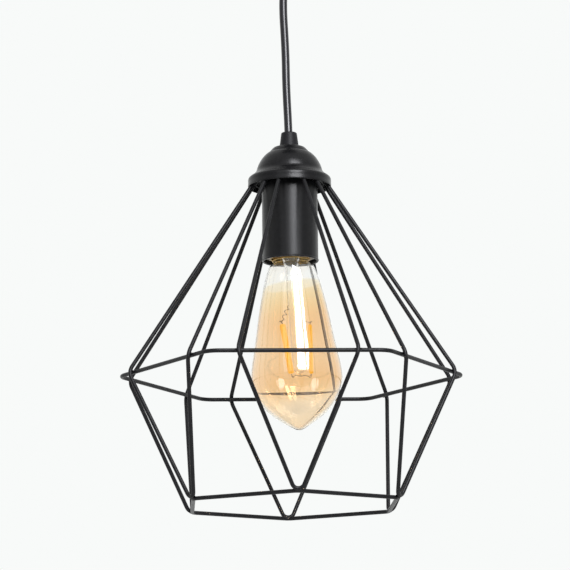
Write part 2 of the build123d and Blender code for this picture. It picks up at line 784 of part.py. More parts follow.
def bulb_glass():
    """Hollow blown envelope, open at the neck inside the cap."""
    skin = revolve(Plane.XZ * glass_outline(0), axis=Axis.Z)
    hollow = revolve(Plane.XZ * glass_outline(glass_wall), axis=Axis.Z)
    return leaned * (skin - hollow)


stem_top_z = glass_top_z + neck_in_cap - 2.0
stem_foot_z = stem_top_z - stem_length


def glass_stem():
    """Glass stem: a flare sealed in the neck, a long tube and a rounded foot."""
    flare_z = stem_top_z - stem_flare_length
    flare = Spline(
        (stem_flare_radius, stem_top_z), (stem_radius, flare_z),
        tangents=[(-0.3, -1), (0, -1)],
    )
    side = Line((stem_radius, flare_z), (stem_radius, stem_foot_z + stem_radius))
    foot = RadiusArc((stem_radius, stem_foot_z + stem_radius), (0, stem_foot_z), stem_radius)
    skin = make_face([flare, side, foot, Line((0, stem_foot_z), (0, stem_top_z)),
                      Line((0, stem_top_z), (stem_flare_radius, stem_top_z))])
    inner = stem_radius - stem_wall
    bore_foot = stem_foot_z + stem_wall
    bore_flare = Spline(
        (stem_flare_radius - stem_wall, stem_top_z), (inner, flare_z),
        tangents=[(-0.3, -1), (0, -1)],
    )
    bore = make_face([bore_flare, Line((inner, flare_z), (inner, bore_foot + inner)),
                      RadiusArc((inner, bore_foot + inner), (0, bore_foot), inner),
                      Line((0, bore_foot), (0, stem_top_z)),
                      Line((0, stem_top_z), (stem_flare_radius - stem_wall, stem_top_z))])
    return stem_leaned * (revolve(Plane.XZ * skin, axis=Axis.Z) - revolve(Plane.XZ * bore, axis=Axis.Z))


filament_foot_z = stem_foot_z + filament_lift
filament_top_z = filament_foot_z + sqrt(
    filament_length ** 2 - (filament_top_spread - filament_foot_spread) ** 2)


def filament_ends(side):
    """Foot and top of one filament, each side of the stem."""
    turn = radians(filament_turn)
    foot = Vector(side * filament_foot_spread * cos(turn), side * filament_foot_spread * sin(turn), filament_foot_z)
    top = Vector(side * filament_top_spread * cos(turn), side * filament_top_spread * sin(turn), filament_top_z)
    return foot, top


def filaments():
    """Two straight light-emitting rods that hang beside the stem."""
    rods = []
    for side in (-1, 1):
        foot, top = filament_ends(side)
        run = Line(foot, top)
        rod = sweep(Plane(origin=foot, z_dir=top - foot) * Circle(filament_radius), path=run)
        rods.append(stem_leaned * rod)
    return rods


def support_wires():
    """Lead wires from the stem to the filaments' tops, and a yoke under the stem to their feet."""
    wires = []
    foot_a, top_a = filament_ends(-1)
    foot_b, top_b = filament_ends(1)
    low = stem_foot_z - yoke_drop
    yoke = []
    for foot, top in ((foot_a, top_a), (foot_b, top_b)):
        up = (top - foot).normalized()
        out = Vector(top.X, top.Y, 0).normalized()
        start = out * (stem_radius + 0.02) + Vector(0, 0, filament_top_z + lead_rise)
        knee = out * (stem_radius + lead_reach) + Vector(0, 0, filament_top_z + lead_rise)
        lead = [start, knee, top + up * lead_reach, top + up * 0.02]
        wires.append(bent_wire(lead, [0.8, 0.8], support_wire_radius))
        yoke.append([foot - up * 0.02, foot - up * 0.9, Vector(foot.X * 0.5, foot.Y * 0.5, low)])
    turns = yoke[0] + yoke[1][::-1]
    bar = bent_wire(turns, [0.5, 0.5, 0.5, 0.5], support_wire_radius)
    post = disc(support_wire_radius * 0.8, low + 0.05, stem_foot_z - 0.01)
    wires.append(bar + post)
    return [stem_leaned * wire for wire in wires]


def driver_board():
    """Small driver board with its capacitor, seated on the stem's flare inside the cap."""
    base_z = stem_top_z + weld_gap
    board = Pos(0, 0, base_z + driver_board_thickness / 2) * Cylinder(
        driver_board_size / 2, driver_board_thickness)
    lift = base_z + driver_board_thickness
    can = disc(driver_capacitor_radius, lift, lift + driver_capacitor_height * 0.6, -2.6)
    chip = Pos(3.2, 0, lift + 0.8) * Box(4.0, 5.0, 1.6)
    return stem_leaned * (board + can + chip)


save("ceiling_bracket", ceiling_bracket())
save("ceiling_cup", ceiling_cup())
save("cup_screws", cup_screws())
save("ceiling_cord_grip", ceiling_cord_grip())
save("grip_nut", hex_nut(cup_floor_z + cup_wall, nipple_hole))
save("grip_screw", grip_screw())
save("terminal_block", terminal_block())
save("terminal_tubes", terminal_tubes())
save("terminal_screws", terminal_screws())
save("block_screws", block_screws())
for number, colour in enumerate(("live", "earth", "neutral")):
    save(f"ceiling_{colour}_core", ceiling_core(number))
save("cord", cord())
save("cord_gland", cord_gland())
save("gland_jaw", gland_jaw())
save("nipple", nipple())
save("dome_cap", dome_cap())
save("cap_nut", hex_nut(dome_top_z - cap_wall - nut_height, nipple_hole))
save("cage_collar", cage_collar())
save("lock_washer", lock_washer())
save("collar_nut", hex_nut(collar_top_z + washer_height, nipple_hole))
for number in range(6):
    save(f"cage_wire_{number + 1}", kite_wire(number))
save("belt_ring", hexagon_ring(belt_apothem, belt_corner_radius, belt_z, 0))
save("foot_ring", hexagon_ring(foot_ring_apothem, foot_ring_corner_radius, foot_ring_z, 30))
save("holder_sleeve", holder_sleeve())
save("holder_bracket", holder_bracket())
save("bracket_screws", bracket_screws())
save("holder_body", holder_body())
save("screw_shell", screw_shell())
save("shell_contact", shell_contact())
save("centre_contact", centre_contact())
save("holder_terminal_screws", holder_terminal_screws())
for number, colour in enumerate(("live", "neutral", "earth")):
    save(f"lamp_{colour}_core", lamp_core(number))
save("bulb_cap", bulb_cap())
save("cap_insulator", cap_insulator())
save("tip_contact", tip_contact())
save("bulb_glass", bulb_glass())
save("glass_stem", glass_stem())
save("filaments", filaments())
save("support_wires", support_wires())
save("driver_board", driver_board())
cord_length = sheath_top_z - sheath_foot_z
cord_volume = cord().volume
print("cord: one straight run", round(cord_length, 1), "mm, least bend radius: none")
print("cord volume", round(cord_volume, 1), "section x length", round(pi * cord_radius ** 2 * cord_length, 1))
print("belt", round(belt_z, 2), "foot", round(foot_z, 2), "mouth", round(mouth_z, 2), "tip", round(glass_tip_z, 2))
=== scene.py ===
import bpy
import bmesh
import json
import numpy as np
from math import cos, pi, radians, sin, sqrt
from mathutils import Matrix, Vector


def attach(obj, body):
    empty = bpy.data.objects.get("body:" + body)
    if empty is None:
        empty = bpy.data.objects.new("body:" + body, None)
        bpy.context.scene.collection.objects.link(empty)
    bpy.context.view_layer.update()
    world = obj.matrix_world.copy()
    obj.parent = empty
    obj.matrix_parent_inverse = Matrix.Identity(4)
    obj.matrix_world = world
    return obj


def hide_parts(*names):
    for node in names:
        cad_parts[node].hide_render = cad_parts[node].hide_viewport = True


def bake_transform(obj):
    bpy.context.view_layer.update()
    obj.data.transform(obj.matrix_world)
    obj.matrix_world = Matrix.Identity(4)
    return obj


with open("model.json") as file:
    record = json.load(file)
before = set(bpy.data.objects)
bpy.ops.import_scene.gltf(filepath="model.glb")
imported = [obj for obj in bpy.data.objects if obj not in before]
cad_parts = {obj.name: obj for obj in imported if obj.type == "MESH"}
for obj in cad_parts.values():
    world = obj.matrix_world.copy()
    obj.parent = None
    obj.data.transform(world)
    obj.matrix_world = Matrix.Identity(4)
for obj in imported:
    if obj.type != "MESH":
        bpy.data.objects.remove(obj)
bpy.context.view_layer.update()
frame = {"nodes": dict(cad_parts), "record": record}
nodes = frame["nodes"]
scene = bpy.context.scene

# Heights on the lamp's axis, in metres, as in the part's source
NIPPLE_TOP_Z = -0.1757
DOME_TOP_Z = -0.1817
RIM_Z = -0.2097
NIPPLE_FOOT_Z = -0.2107
SHELL_TOP_Z = -0.2400
SHELL_FOOT_Z = -0.2619
GLASS_TOP_Z = -0.2631
BULB_CAP_TOP_Z = GLASS_TOP_Z + 0.0203
MOUTH_Z = -0.2634
STEM_FOOT_Z = -0.3427
BELT_Z = -0.3442
GLASS_TIP_Z = -0.3822

# Heights that are this script's own
FILAMENT_TOP_Z = -0.3080
FILAMENT_FOOT_Z = -0.3429
FLOOR_Z = -1.60

# Radii, walls and thread pitches of the finished pieces, in metres
CORD_RADIUS = 0.00284
NIPPLE_HOLE_RADIUS = 0.0051
CAP_WALL = 0.0006
GLASS_WALL = 0.0005
GLASS_NECK_RADIUS = 0.0123
BELLY_RADIUS = 0.0316
SCREW_PITCH = 0.00363
NIPPLE_PITCH = 0.0010
BELT_RADIUS = 0.1190
FOOT_RADIUS = 0.0810
FOOT_DROP = 0.0885

# The bulb leans a little in its holder, and its stem a little more
BULB_LEAN = radians(2.2)
STEM_LEAN = radians(1.7)
BULB_PIVOT = Vector((0, 0, GLASS_TOP_Z + 0.01015))
STEM_PIVOT = Vector((0, 0, GLASS_TOP_Z + 0.002))


def turned_about(point, angle):
    """A turn about the Y direction through a point."""
    return Matrix.Translation(point) @ Matrix.Rotation(-angle, 4, "Y") @ Matrix.Translation(-point)


LEANED = turned_about(BULB_PIVOT, BULB_LEAN)
STEM_LEANED = LEANED @ turned_about(STEM_PIVOT, STEM_LEAN)


# Camera

def add_camera():
    """The photograph's viewpoint: a long lens below the lamp, looking up at the bulb's neck."""
    focal_px, frame_px, sensor_mm = 2966.4, 570, 36
    distance, height = 2.0250, BELT_Z - 0.3377
    round_the_lamp = radians(2.539)
    yaw, pitch, roll = -0.00195, 0.19592, -0.01059
    forward = Vector((sin(yaw) * cos(pitch), cos(yaw) * cos(pitch), sin(pitch)))
    right = Vector((cos(yaw), -sin(yaw), 0))
    up = right.cross(forward)
    right, up = right * cos(roll) + up * sin(roll), up * cos(roll) - right * sin(roll)
    spin = Matrix.Rotation(-round_the_lamp, 3, "Z")
    place = spin @ Vector((0, -distance, 0)) + Vector((0, 0, height))
    axes = Matrix((spin @ right, spin @ up, spin @ -forward)).transposed().to_4x4()
    data = bpy.data.cameras.new("camera")
    data.sensor_width = sensor_mm
    data.lens = focal_px / frame_px * sensor_mm
    data.clip_end = 50
    camera = bpy.data.objects.new("camera", data)
    camera.matrix_world = Matrix.Translation(place) @ axes
    scene.collection.objects.link(camera)
    scene.camera = camera


add_camera()


# Shader building

def new_material(name, **sockets):
    """A shader with its plain values set on its own sockets; returns it with its node tree."""
    material = bpy.data.materials.new(name)
    material.use_nodes = True
    tree = material.node_tree
    shader = tree.nodes["Principled BSDF"]
    for key, value in sockets.items():
        shader.inputs[key.replace("_", " ")].default_value = value
    return material, tree, shader


def own_place(tree, stretch=(1, 1, 1)):
    """The piece's own coordinates, stretched where the marks run one way."""
    coordinates = tree.nodes.new("ShaderNodeTexCoord")
    mapping = tree.nodes.new("ShaderNodeMapping")
    mapping.inputs["Scale"].default_value = stretch
    tree.links.new(coordinates.outputs["Object"], mapping.inputs["Vector"])
    return mapping.outputs["Vector"]


def noise(tree, scale, detail=3.0, stretch=(1, 1, 1)):
    """A cloudy factor on the piece's own coordinates."""
    node = tree.nodes.new("ShaderNodeTexNoise")
    node.inputs["Scale"].default_value = scale
    node.inputs["Detail"].default_value = detail
    node.inputs["Roughness"].default_value = 0.55
    tree.links.new(own_place(tree, stretch), node.inputs["Vector"])
    return node.outputs["Fac"]


def ramp(tree, factor, stops):
    """Colours along a factor; each stop is (place, colour)."""
    node = tree.nodes.new("ShaderNodeValToRGB")
    band = node.color_ramp
    while len(band.elements) < len(stops):
        band.elements.new(0.5)
    for element, (place, colour) in zip(band.elements, stops):
        element.position = place
        element.color = (*colour, 1)
    tree.links.new(factor, node.inputs["Fac"])
    return node.outputs["Color"]


def spread(tree, factor, low, high, source=(0, 1)):
    """A factor brought into a range."""
    node = tree.nodes.new("ShaderNodeMapRange")
    node.inputs["From Min"].default_value = source[0]
    node.inputs["From Max"].default_value = source[1]
    node.inputs["To Min"].default_value = low
    node.inputs["To Max"].default_value = high
    tree.links.new(factor, node.inputs["Value"])
    return node.outputs["Result"]


def combined(tree, operation, *values):
    """Two factors, or a factor and a number, put through one operation."""
    node = tree.nodes.new("ShaderNodeMath")
    node.operation = operation
    for socket, value in zip(node.inputs, values):
        if isinstance(value, (int, float)):
            socket.default_value = value
        else:
            tree.links.new(value, socket)
    return node.outputs[0]


def two_tone(tree, shader, cloud, dark, light, edges=(0.3, 0.7), socket="Base Color"):
    """Colour that wanders between two tones with a cloudy factor."""
    colours = ramp(tree, cloud, [(edges[0], dark), (edges[1], light)])
    tree.links.new(colours, shader.inputs[socket])


def uneven_gloss(tree, shader, marks, smoothest, roughest):
    """Roughness that wanders between two values with a factor."""
    tree.links.new(spread(tree, marks, smoothest, roughest), shader.inputs["Roughness"])


def bump(tree, shader, height, strength, distance):
    """Fine relief from a factor."""
    node = tree.nodes.new("ShaderNodeBump")
    node.inputs["Strength"].default_value = strength
    node.inputs["Distance"].default_value = distance
    tree.links.new(height, node.inputs["Height"])
    tree.links.new(node.outputs["Normal"], shader.inputs["Normal"])


def dimmed(colour, share):
    """The same colour at a share of its strength."""
    return tuple(c * share for c in colour)


# Finishes

def spun_black(name, level, smoothest, roughest):
    """Satin black enamel over spun steel: faint turning lines under an even coat."""
    material, tree, shader = new_material(name, Specular_IOR_Level=level)
    two_tone(tree, shader, noise(tree, 380), (0.0040, 0.0040, 0.0044), (0.0070, 0.0070, 0.0077))
    uneven_gloss(tree, shader, noise(tree, 55), smoothest, roughest)
    lines = noise(tree, 1500, 2.0, stretch=(0.02, 0.02, 1))
    orange_peel = noise(tree, 900, 1.0)
    relief = combined(tree, "ADD", combined(tree, "MULTIPLY", lines, 0.5), orange_peel)
    bump(tree, shader, relief, 0.25, 0.00006)
    return material


def wire_black():
    """Powder coat on the cage wire: slightly rougher, with a fine orange peel."""
    material, tree, shader = new_material("wire_black_powder", Specular_IOR_Level=0.21)
    two_tone(tree, shader, noise(tree, 240), (0.0060, 0.0060, 0.0066), (0.0105, 0.0105, 0.0115))
    uneven_gloss(tree, shader, noise(tree, 90), 0.33, 0.45)
    bump(tree, shader, noise(tree, 1500, 2.0), 0.35, 0.00008)
    return material


def moulded(name, colour, rough, level=0.5, grain=900, depth=0.00004):
    """Moulded plastic or glaze with a fine eroded grain."""
    material, tree, shader = new_material(name, Specular_IOR_Level=level)
    two_tone(tree, shader, noise(tree, 130), dimmed(colour, 0.86), colour)
    uneven_gloss(tree, shader, noise(tree, 70), rough * 0.88, rough * 1.12)
    bump(tree, shader, noise(tree, grain, 2.0), 0.3, depth)
    return material


def metal(name, colour, rough, stretch=(1, 1, 1)):
    """Bare metal with drawing or plating marks along one direction."""
    material, tree, shader = new_material(name, Metallic=1.0)
    two_tone(tree, shader, noise(tree, 160), dimmed(colour, 0.82), colour, edges=(0.25, 0.75))
    marks = noise(tree, 600, 2.0, stretch=stretch)
    uneven_gloss(tree, shader, marks, rough * 0.75, rough * 1.25)
    bump(tree, shader, marks, 0.2, 0.00004)
    return material


def plated_gold():
    """Brass-gold plating, soft, on the bulb's pressed cap; only partly metallic, so its colour shows as a
    painted sheen in the holder's dark mouth.
    """
    # Metallic below one: a painted sheen in place of the highlights from the lights below
    material, tree, shader = new_material("gold_brass_cap", Metallic=0.72, Specular_IOR_Level=0.5)
    two_tone(tree, shader, noise(tree, 190), (0.66, 0.42, 0.12), (0.88, 0.62, 0.24), edges=(0.25, 0.75))
    marks = noise(tree, 600, 2.0, stretch=(0.1, 0.1, 1))
    uneven_gloss(tree, shader, marks, 0.28, 0.44)
    bump(tree, shader, marks, 0.2, 0.00004)
    return material


# The amber coat from the clear neck down to the tip: height and tint
AMBER_COAT = (
    (-0.2694, (1.0, 1.0, 0.99)), (-0.2797, (1.0, 1.0, 0.985)), (-0.2815, (0.99, 0.90, 0.72)),
    (-0.2906, (0.985, 0.84, 0.60)), (-0.3048, (0.985, 0.768, 0.526)), (-0.3189, (0.985, 0.79, 0.567)),
    (-0.3315, (0.985, 0.80, 0.585)), (-0.3468, (0.985, 0.77, 0.54)), (-0.3524, (0.985, 0.765, 0.51)),
    (-0.3605, (0.985, 0.835, 0.635)), (-0.3684, (0.985, 0.867, 0.71)), (-0.3753, (0.985, 0.865, 0.685)),
    (-0.3822, (0.985, 0.83, 0.64)),
)


def amber_glass():
    """Clear glass at the neck, then an amber coat with a sloping edge and soft bands running down."""
    material, tree, shader = new_material(
        "amber_glass", Roughness=0.0, IOR=1.45, Transmission_Weight=1.0,
        Coat_Weight=0.4, Coat_IOR=1.8, Coat_Roughness=0.0)
    place = tree.nodes.new("ShaderNodeSeparateXYZ")
    tree.links.new(own_place(tree), place.inputs["Vector"])
    waver = noise(tree, 60, 2.0, stretch=(1, 1, 0.05))
    level = combined(tree, "ADD", place.outputs["Z"], spread(tree, waver, -0.0008, 0.0008))
    slope = combined(tree, "MULTIPLY", place.outputs["X"], 0.14)
    level = combined(tree, "SUBTRACT", level, slope)
    top = MOUTH_Z - 0.006
    down = spread(tree, level, 0.0, 1.0, source=(top, GLASS_TIP_Z))
    body = ramp(tree, down, [((z - top) / (GLASS_TIP_Z - top), tint) for z, tint in AMBER_COAT])
    bands = noise(tree, 45, 0.0, stretch=(1, 1, 0.03))
    lustre = tree.nodes.new("ShaderNodeMix")
    lustre.data_type = "RGBA"
    tree.links.new(spread(tree, bands, 0.0, 0.38, source=(0.45, 0.75)), lustre.inputs["Factor"])
    tree.links.new(body, lustre.inputs["A"])
    lustre.inputs["B"].default_value = (0.99, 0.93, 0.82, 1)
    tree.links.new(lustre.outputs["Result"], shader.inputs["Base Color"])
    return material


def clear_glass():
    """The stem's clear glass, very slightly clouded."""
    material, tree, shader = new_material(
        "clear_glass", Roughness=0.0, IOR=1.5, Transmission_Weight=1.0)
    two_tone(tree, shader, noise(tree, 40), (0.97, 0.975, 0.97), (0.99, 0.99, 0.985))
    return material


def glowing(name, colour, strength):
    """A filament's phosphor: it glows so that it keeps its colour behind the amber glass."""
    material, tree, shader = new_material(name, Roughness=0.45, Specular_IOR_Level=0.3)
    cloud = noise(tree, 700, 2.0)
    two_tone(tree, shader, cloud, dimmed(colour, 0.10), dimmed(colour, 0.16))
    two_tone(tree, shader, cloud, dimmed(colour, 0.80), colour, socket="Emission Color")
    shader.inputs["Emission Strength"].default_value = strength
    return material


SPUN = spun_black("spun_black_enamel", level=0.27, smoothest=0.23, roughest=0.30)
SLEEVE_BLACK = spun_black("sleeve_black_enamel", level=0.30, smoothest=0.29, roughest=0.36)
# The collar: the same enamel with weak, rough gloss, a painted shade that keeps it as dark as in the rim's
# shadow
COLLAR_SHADED_BLACK = spun_black("collar_black_enamel", level=0.10, smoothest=0.50, roughest=0.60)
WIRE = wire_black()
CORD_PVC = moulded("cord_pvc", (0.010, 0.010, 0.0125), 0.17, level=0.55, grain=260, depth=0.00003)
BLACK_NYLON = moulded("black_nylon", (0.011, 0.011, 0.0125), 0.46, level=0.17)
PORCELAIN = moulded("porcelain", (0.82, 0.80, 0.75), 0.18, grain=60, depth=0.0001)
CREAM = moulded("terminal_plastic", (0.80, 0.77, 0.68), 0.45)
BROWN = moulded("core_brown", (0.16, 0.07, 0.035), 0.4)
BLUE = moulded("core_blue", (0.03, 0.10, 0.32), 0.4)
GREEN = moulded("core_green_yellow", (0.28, 0.42, 0.04), 0.4)
BOARD = moulded("board_green", (0.03, 0.16, 0.07), 0.5)
ZINC = metal("zinc_plate", (0.52, 0.52, 0.51), 0.42)
BRASS = metal("brass", (0.80, 0.57, 0.24), 0.26, stretch=(1, 1, 0.1))
GOLD = plated_gold()
LEAD = metal("lead_wire", (0.42, 0.37, 0.31), 0.35)
SOLDER = metal("solder", (0.66, 0.66, 0.64), 0.42)
BLACK_GLASS = moulded("insulator_glass", (0.012, 0.012, 0.013), 0.08, grain=50)
AMBER = amber_glass()
CLEAR = clear_glass()
PHOSPHOR = glowing("filament_phosphor", (1.0, 0.57, 0.040), 1.0)
CHIP = glowing("filament_chip", (1.0, 0.70, 0.10), 1.1)

FINISH = {
    "black_metal": SPUN, "black_wire": WIRE, "black_plastic": BLACK_NYLON, "cord_sheath": CORD_PVC,
    "steel": ZINC, "black_screw": SPUN, "brass": BRASS, "terminal_steel": ZINC, "cream_plastic": CREAM,
    "porcelain": PORCELAIN, "core_live": BROWN, "core_neutral": BLUE, "core_earth": GREEN,
    "gold_cap": GOLD, "amber_glass": AMBER, "clear_glass": CLEAR, "filament": PHOSPHOR,
    "lead_wire": LEAD, "black_glass": BLACK_GLASS, "solder": SOLDER, "board": BOARD,
}
OWN_FINISH = {"holder_sleeve": SLEEVE_BLACK, "cage_collar": COLLAR_SHADED_BLACK}
for part in frame["record"]["subparts"]:
    solid = nodes[part["node"]]
    solid.data.materials.clear()
    solid.data.materials.append(OWN_FINISH.get(part["node"], FINISH[part["material_slot"]]))


# Making pieces

def new_piece(name, mesh, material, body, place=None):
    """A finished piece at the origin; it rides on one body, or on none when no body is given."""
    if place is not None:
        mesh.transform(place)
    obj = bpy.data.objects.new(name, mesh)
    scene.collection.objects.link(obj)
    mesh.materials.clear()
    mesh.materials.append(material)
    if body:
        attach(obj, body)
    return obj


def grid_mesh(name, rows, closed_rows=False, drop_slivers=False):
    """Smooth faces between equal rows of points, each row a closed ring."""
    mesh = bpy.data.meshes.new(name)
    form = bmesh.new()
    rings = [[form.verts.new(point) for point in row] for row in rows]
    pairs = list(zip(rings, rings[1:]))
    if closed_rows:
        pairs.append((rings[-1], rings[0]))
    for low, high in pairs:
        for i in range(len(low)):
            j = (i + 1) % len(low)
            form.faces.new((low[i], low[j], high[j], high[i]))
    bmesh.ops.remove_doubles(form, verts=form.verts, dist=1e-7)
    if drop_slivers:
        bmesh.ops.dissolve_degenerate(form, edges=form.edges, dist=1e-8)
    bmesh.ops.recalc_face_normals(form, faces=form.faces)
    for face in form.faces:
        face.smooth = True
    form.to_mesh(mesh)
    form.free()
    return mesh


def joined(name, meshes):
    """Several meshes in one."""
    form = bmesh.new()
    for mesh in meshes:
        form.from_mesh(mesh)
    whole = bpy.data.meshes.new(name)
    form.to_mesh(whole)
    form.free()
    return whole


def lathe(name, outline, steps):
    """A turned form about Z from a closed outline of (radius, height) points."""
    rows = [
        [(r * cos(2 * pi * i / steps), r * sin(2 * pi * i / steps), z) for i in range(steps)]
        for r, z in outline
    ]
    return grid_mesh(name, rows, closed_rows=True)


def round_tube(name, points, radius, sides):
    """A round tube along a list of points, closed at both ends."""
    points = [Vector(p) for p in points]
    last = len(points) - 1
    directions = [
        (points[min(i + 1, last)] - points[max(i - 1, 0)]).normalized() for i in range(len(points))
    ]
    side = directions[0].orthogonal().normalized()
    rows = [[points[0]] * sides]
    for point, along in zip(points, directions):
        side = (side - along * side.dot(along)).normalized()
        other = along.cross(side)
        rows.append([
            point + (side * cos(2 * pi * k / sides) + other * sin(2 * pi * k / sides)) * radius
            for k in range(sides)
        ])
    rows.append([points[-1]] * sides)
    return grid_mesh(name, rows, drop_slivers=True)


def threaded_tube(name, crest, root, wall, low, high, pitch, bore=None, steps=72, rows_per_turn=14):
    """A tube with a round thread that fades out at its ends; bore gives it a plain round hole."""
    count = max(2, int((high - low) / pitch * rows_per_turn))
    levels = [low + (high - low) * i / count for i in range(count + 1)]
    angles = [2 * pi * k / steps for k in range(steps)]

    def outside(z, angle):
        """Radius of the threaded skin."""
        fade = max(0.0, min(1.0, (z - low) / 0.0012, (high - z) / 0.0008))
        wave = 0.5 + 0.5 * cos(2 * pi * (z / pitch) - angle)
        return crest - (crest - root) * (1 - wave) * fade

    def inside(z, angle):
        """Radius of the hole."""
        return bore or outside(z, angle) - wall

    def ring(radius, z):
        """One row of points round the tube."""
        return [(radius(z, a) * cos(a), radius(z, a) * sin(a), z) for a in angles]

    rows = [ring(outside, z) for z in levels]
    rows += [ring(inside, z) for z in reversed(levels if bore is None else (low, high))]
    return grid_mesh(name, rows, closed_rows=True)


def smooth_line(points, start, end, steps):
    """A smooth line through (radius, height) points that leaves and arrives in given directions."""
    points = np.array(points, float)
    gaps = np.linalg.norm(np.diff(points, axis=0), axis=1)
    count = len(points)
    matrix = np.zeros((count, count))
    aims = np.zeros((count, 2))
    matrix[0, 0] = matrix[-1, -1] = 1
    aims[0] = np.array(start) / np.linalg.norm(start)
    aims[-1] = np.array(end) / np.linalg.norm(end)
    for i in range(1, count - 1):
        a, b = gaps[i - 1], gaps[i]
        before, after = points[i] - points[i - 1], points[i + 1] - points[i]
        matrix[i, i - 1:i + 2] = 1 / a, 2 / a + 2 / b, 1 / b
        aims[i] = 3 * (before / a ** 2 + after / b ** 2)
    slopes = np.linalg.solve(matrix, aims)
    line = []
    for i, gap in enumerate(gaps):
        shares = np.linspace(0, 1, max(3, round(steps * gap / gaps.sum())), endpoint=False)
        for t in shares:
            line.append(
                (2 * t ** 3 - 3 * t ** 2 + 1) * points[i]
                + (t ** 3 - 2 * t ** 2 + t) * gap * slopes[i]
                + (3 * t ** 2 - 2 * t ** 3) * points[i + 1]
                + (t ** 3 - t ** 2) * gap * slopes[i + 1])
    line.append(points[-1])
    return np.array(line)


def arc(centre, radius, start, end, steps):
    """Points of an arc in the (radius, height) plane, angles in degrees."""
    return [(centre[0] + radius * cos(radians(a)), centre[1] + radius * sin(radians(a)))
            for a in np.linspace(start, end, steps)]


def inner_skin(profile, wall, growth=0.0, below=-9.0):
    """The outline moved inwards by the wall, square to the surface; below a height the wall grows."""
    fade, most = 0.006, 0.0012
    along = np.gradient(profile, axis=0)
    along /= np.linalg.norm(along, axis=1)[:, None]
    inward = np.stack([along[:, 1], -along[:, 0]], axis=1)
    steps = np.linalg.norm(np.diff(profile, axis=0, prepend=profile[:1]), axis=1)
    run = np.cumsum(steps * np.clip((below - profile[:, 1]) / fade, 0.0, 1.0))
    walls = (wall + most * np.tanh(growth * run / most))[:, None]
    moved = profile + inward * walls
    moved[:, 0] = np.maximum(moved[:, 0], 0)
    return moved


def curved(points, steps=10):
    """A smooth path through points."""
    points = [Vector(p) for p in points]
    padded = [points[0] * 2 - points[1]] + points + [points[-1] * 2 - points[-2]]
    path = []
    for a, b, c, d in zip(padded, padded[1:], padded[2:], padded[3:]):
        for i in range(steps):
            t = i / steps
            path.append(0.5 * (2 * b + (c - a) * t + (2 * a - 5 * b + 4 * c - d) * t * t
                               + (3 * b - a - 3 * c + d) * t ** 3))
    path.append(points[-1])
    return path


# Copies of one item, made by Geometry Nodes

def copies_tree(name, inputs):
    """A group with named inputs that ends in real copies of an item, with a material on them."""
    tree = bpy.data.node_groups.new(name, "GeometryNodeTree")
    sockets = {
        label: tree.interface.new_socket(label, in_out="INPUT", socket_type="NodeSocket" + kind).identifier
        for label, kind in inputs
    }
    tree.interface.new_socket("Geometry", in_out="OUTPUT", socket_type="NodeSocketGeometry")
    given, result = tree.nodes.new("NodeGroupInput"), tree.nodes.new("NodeGroupOutput")
    item = tree.nodes.new("GeometryNodeObjectInfo")
    copies = tree.nodes.new("GeometryNodeInstanceOnPoints")
    real = tree.nodes.new("GeometryNodeRealizeInstances")
    paint = tree.nodes.new("GeometryNodeSetMaterial")
    link = tree.links.new
    link(given.outputs["Item"], item.inputs["Object"])
    link(item.outputs["Geometry"], copies.inputs["Instance"])
    link(copies.outputs["Instances"], real.inputs["Geometry"])
    link(real.outputs["Geometry"], paint.inputs["Geometry"])
    link(given.outputs["Material"], paint.inputs["Material"])
    link(paint.outputs["Geometry"], result.inputs["Geometry"])
    return tree, given, copies, sockets


def chip_nodes():
    """Copies of one item, evenly spaced on a line, all turned the same way."""
    tree, given, copies, sockets = copies_tree("items_along_a_line", (
        ("Line", "Geometry"), ("Item", "Object"), ("Count", "Int"), ("Turn", "Vector"),
        ("Material", "Material")))
    curve = tree.nodes.new("GeometryNodeMeshToCurve")
    spaced = tree.nodes.new("GeometryNodeResampleCurve")
    link = tree.links.new
    link(given.outputs["Line"], curve.inputs["Mesh"])
    link(curve.outputs["Curve"], spaced.inputs["Curve"])
    link(given.outputs["Count"], spaced.inputs["Count"])
    link(spaced.outputs["Curve"], copies.inputs["Points"])
    link(given.outputs["Turn"], copies.inputs["Rotation"])
    return tree, sockets


def bead_nodes():
    """One item on every point, turned by the point's own angles, each a little larger or smaller."""
    tree, given, copies, sockets = copies_tree("items_on_points", (
        ("Points", "Geometry"), ("Item", "Object"), ("Smallest", "Float"), ("Largest", "Float"),
        ("Seed", "Int"), ("Material", "Material")))
    angles = tree.nodes.new("GeometryNodeInputNamedAttribute")
    angles.data_type = "FLOAT_VECTOR"
    angles.inputs["Name"].default_value = "turn"
    size = tree.nodes.new("FunctionNodeRandomValue")
    size.data_type = "FLOAT"

    def number(sockets_of_node, label):
        """The plain number socket among the node's sockets of one name."""
        return next(s for s in sockets_of_node if s.name == label and s.type == "VALUE")

    link = tree.links.new
    link(given.outputs["Points"], copies.inputs["Points"])
    link(angles.outputs[0], copies.inputs["Rotation"])
    link(given.outputs["Smallest"], number(size.inputs, "Min"))
    link(given.outputs["Largest"], number(size.inputs, "Max"))
    link(given.outputs["Seed"], size.inputs["Seed"])
    link(number(size.outputs, "Value"), copies.inputs["Scale"])
    return tree, sockets


def evaluated_mesh(holder):
    """The plain mesh that an object's modifiers or its curve give."""
    bpy.context.view_layer.update()
    return bpy.data.meshes.new_from_object(holder.evaluated_get(bpy.context.evaluated_depsgraph_get()))


def grown(name, carrier, group, identifiers, **values):
    """The plain mesh that a Geometry Nodes group makes of a carrier mesh."""
    holder = bpy.data.objects.new(name, carrier)
    scene.collection.objects.link(holder)
    modifier = holder.modifiers.new("grow", "NODES")
    modifier.node_group = group
    for key, value in values.items():
        modifier[identifiers[key]] = value
    mesh = evaluated_mesh(holder)
    holder.modifiers.remove(modifier)
    bpy.data.objects.remove(holder)
    for polygon in mesh.polygons:
        polygon.use_smooth = True
    return mesh


def item_object(mesh):
    """An object that only serves as the pattern for copies."""
    item = bpy.data.objects.new(mesh.name, mesh)
    scene.collection.objects.link(item)
    return item


# The cord: glossy round sheath, taut under the lamp's weight

